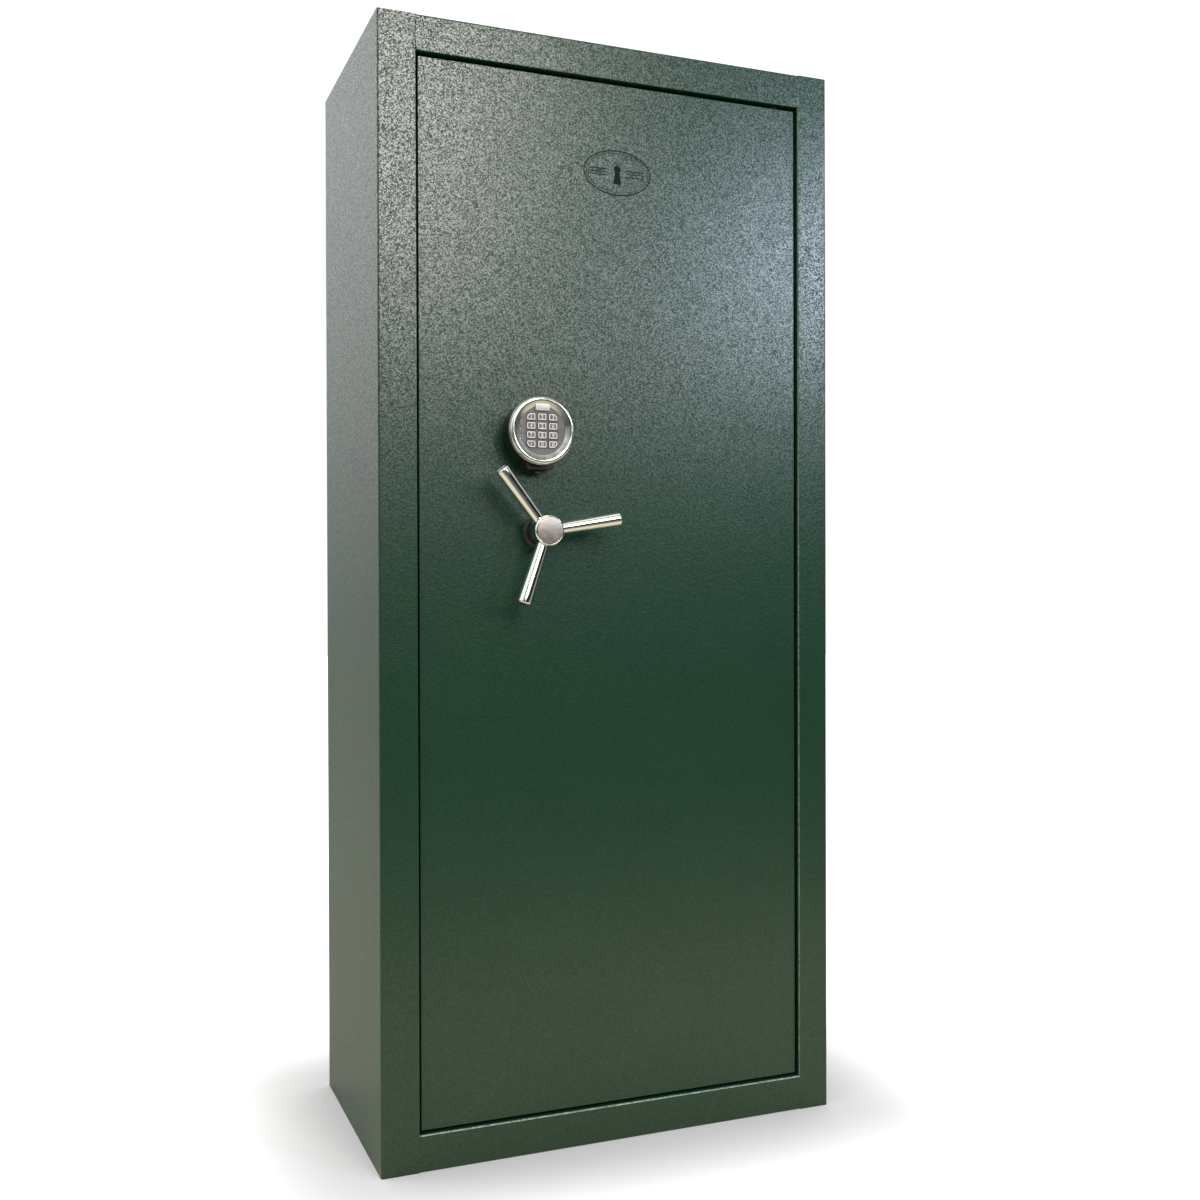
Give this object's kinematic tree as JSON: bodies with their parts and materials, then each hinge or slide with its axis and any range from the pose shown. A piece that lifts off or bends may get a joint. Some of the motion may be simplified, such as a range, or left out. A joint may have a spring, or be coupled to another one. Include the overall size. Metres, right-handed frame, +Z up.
{
  "type": "gun safe",
  "caption": "Tall upright steel gun safe with a recessed flush door, a round electronic keypad lock and a three-spoke handle that throws bolts on three sides.",
  "frame": {"origin": "centre of the cabinet's footprint, on the floor", "axes": "+X to the right as seen from the front, +Y into the safe, +Z up; the door faces -Y"},
  "size_m": [0.662, 0.4038, 1.5],
  "materials": {
    "green_powder_coat": "dark green hammertone powder coat, semi-gloss",
    "bright_chrome": "polished chrome plate",
    "brushed_cap": "turned and brushed stainless disc",
    "bare_steel": "machined steel",
    "zinc_plate": "zinc-plated sheet steel",
    "black_plastic": "fine-grained black moulding",
    "keypad_grey": "dark grey moulded face",
    "key_rubber": "soft-touch dark grey keys with pale outlines and digits",
    "seal_rubber": "black sponge strip",
    "sintered_bronze": "oiled sintered bronze",
    "grey_carpet": "short charcoal-grey carpet over board",
    "battery_case": "printed battery sleeve"
  },
  "bodies": {
    "cabinet": {"left_side_panel": "green_powder_coat", "right_side_panel": "green_powder_coat", "top_panel": "green_powder_coat", "bottom_panel": "green_powder_coat", "back_panel": "green_powder_coat", "door_stop_frame": "green_powder_coat", "door_seal": "seal_rubber", "hinge_bracket_top": "bare_steel", "hinge_bracket_bottom": "bare_steel", "left_liner": "grey_carpet", "right_liner": "grey_carpet", "back_liner": "grey_carpet", "stock_rest": "grey_carpet", "top_shelf": "grey_carpet", "shelf_cleat": "grey_carpet", "barrel_rack": "grey_carpet"},
    "door": {"door_skin": "green_powder_coat", "door_back_cover": "zinc_plate", "bolt_channel": "zinc_plate", "top_bolt_guide": "zinc_plate", "bottom_bolt_guide": "zinc_plate", "dead_bar": "bare_steel", "hinge_bush_top": "sintered_bronze", "hinge_bush_bottom": "sintered_bronze", "lock_case": "zinc_plate", "hard_plate": "bare_steel", "lock_cable": "black_plastic", "handle_escutcheon": "black_plastic", "keypad_housing": "black_plastic", "keypad_bezel": "bright_chrome", "keypad_face": "keypad_grey"},
    "handle": {"handle_hub": "bright_chrome", "handle_cap": "brushed_cap", "handle_spoke_right": "bright_chrome", "handle_spoke_left": "bright_chrome", "handle_spoke_lower": "bright_chrome", "handle_spindle": "bare_steel", "bolt_cam": "zinc_plate"},
    "side_bolts": {"bolt_bar": "zinc_plate", "locking_bolt_1": "bright_chrome", "locking_bolt_2": "bright_chrome", "locking_bolt_3": "bright_chrome", "locking_bolt_4": "bright_chrome"},
    "top_bolt": {"top_bolt_rod": "zinc_plate"},
    "bottom_bolt": {"bottom_bolt_rod": "zinc_plate"},
    "lock_bolt": {"lock_bolt": "bare_steel"},
    "battery_drawer": {"battery_drawer": "black_plastic", "battery": "battery_case"},
    "key_1": {"key_1": "key_rubber"},
    "key_2": {"key_2": "key_rubber"},
    "key_3": {"key_3": "key_rubber"},
    "key_4": {"key_4": "key_rubber"},
    "key_5": {"key_5": "key_rubber"},
    "key_6": {"key_6": "key_rubber"},
    "key_7": {"key_7": "key_rubber"},
    "key_8": {"key_8": "key_rubber"},
    "key_9": {"key_9": "key_rubber"},
    "key_star": {"key_star": "key_rubber"},
    "key_0": {"key_0": "key_rubber"},
    "key_hash": {"key_hash": "key_rubber"}
  },
  "joints": [
    {"name": "door_hinge", "type": "hinge", "parent": "cabinet", "child": "door", "pos_m": [0.2495, -0.16, 0.75], "axis": [0, 0, 1], "range_deg": [0, 100]},
    {"name": "handle_turn", "type": "hinge", "parent": "door", "child": "handle", "pos_m": [-0.1134, -0.171, 0.8342], "axis": [0, -1, 0], "range_deg": [0, 50]},
    {"name": "side_bolts_slide", "type": "slide", "parent": "door", "child": "side_bolts", "axis": [-1, 0, 0], "range_m": [0, 0.0221]},
    {"name": "top_bolt_slide", "type": "slide", "parent": "door", "child": "top_bolt", "axis": [0, 0, 1], "range_m": [0, 0.0221]},
    {"name": "bottom_bolt_slide", "type": "slide", "parent": "door", "child": "bottom_bolt", "axis": [0, 0, -1], "range_m": [0, 0.0221]},
    {"name": "lock_bolt_slide", "type": "slide", "parent": "door", "child": "lock_bolt", "axis": [-1, 0, 0], "range_m": [0, 0.0081]},
    {"name": "battery_drawer_slide", "type": "slide", "parent": "door", "child": "battery_drawer", "axis": [0, 0, -1], "range_m": [0, 0.048]},
    {"name": "key_1_press", "type": "slide", "parent": "door", "child": "key_1", "axis": [0, 1, 0], "range_m": [0, 0.001], "stiffness_N_per_m": 600, "springref_m": -0.0005},
    {"name": "key_2_press", "type": "slide", "parent": "door", "child": "key_2", "axis": [0, 1, 0], "range_m": [0, 0.001], "stiffness_N_per_m": 600, "springref_m": -0.0005},
    {"name": "key_3_press", "type": "slide", "parent": "door", "child": "key_3", "axis": [0, 1, 0], "range_m": [0, 0.001], "stiffness_N_per_m": 600, "springref_m": -0.0005},
    {"name": "key_4_press", "type": "slide", "parent": "door", "child": "key_4", "axis": [0, 1, 0], "range_m": [0, 0.001], "stiffness_N_per_m": 600, "springref_m": -0.0005},
    {"name": "key_5_press", "type": "slide", "parent": "door", "child": "key_5", "axis": [0, 1, 0], "range_m": [0, 0.001], "stiffness_N_per_m": 600, "springref_m": -0.0005},
    {"name": "key_6_press", "type": "slide", "parent": "door", "child": "key_6", "axis": [0, 1, 0], "range_m": [0, 0.001], "stiffness_N_per_m": 600, "springref_m": -0.0005},
    {"name": "key_7_press", "type": "slide", "parent": "door", "child": "key_7", "axis": [0, 1, 0], "range_m": [0, 0.001], "stiffness_N_per_m": 600, "springref_m": -0.0005},
    {"name": "key_8_press", "type": "slide", "parent": "door", "child": "key_8", "axis": [0, 1, 0], "range_m": [0, 0.001], "stiffness_N_per_m": 600, "springref_m": -0.0005},
    {"name": "key_9_press", "type": "slide", "parent": "door", "child": "key_9", "axis": [0, 1, 0], "range_m": [0, 0.001], "stiffness_N_per_m": 600, "springref_m": -0.0005},
    {"name": "key_star_press", "type": "slide", "parent": "door", "child": "key_star", "axis": [0, 1, 0], "range_m": [0, 0.001], "stiffness_N_per_m": 600, "springref_m": -0.0005},
    {"name": "key_0_press", "type": "slide", "parent": "door", "child": "key_0", "axis": [0, 1, 0], "range_m": [0, 0.001], "stiffness_N_per_m": 600, "springref_m": -0.0005},
    {"name": "key_hash_press", "type": "slide", "parent": "door", "child": "key_hash", "axis": [0, 1, 0], "range_m": [0, 0.001], "stiffness_N_per_m": 600, "springref_m": -0.0005}
  ],
  "couplings": [
    {"joint": "side_bolts_slide", "follows": "handle_turn", "m_per_rad": 0.02521},
    {"joint": "top_bolt_slide", "follows": "handle_turn", "m_per_rad": 0.02521},
    {"joint": "bottom_bolt_slide", "follows": "handle_turn", "m_per_rad": 0.02521},
    {"joint": "lock_bolt_slide", "follows": "handle_turn", "m_per_rad": 0.009167}
  ]
}
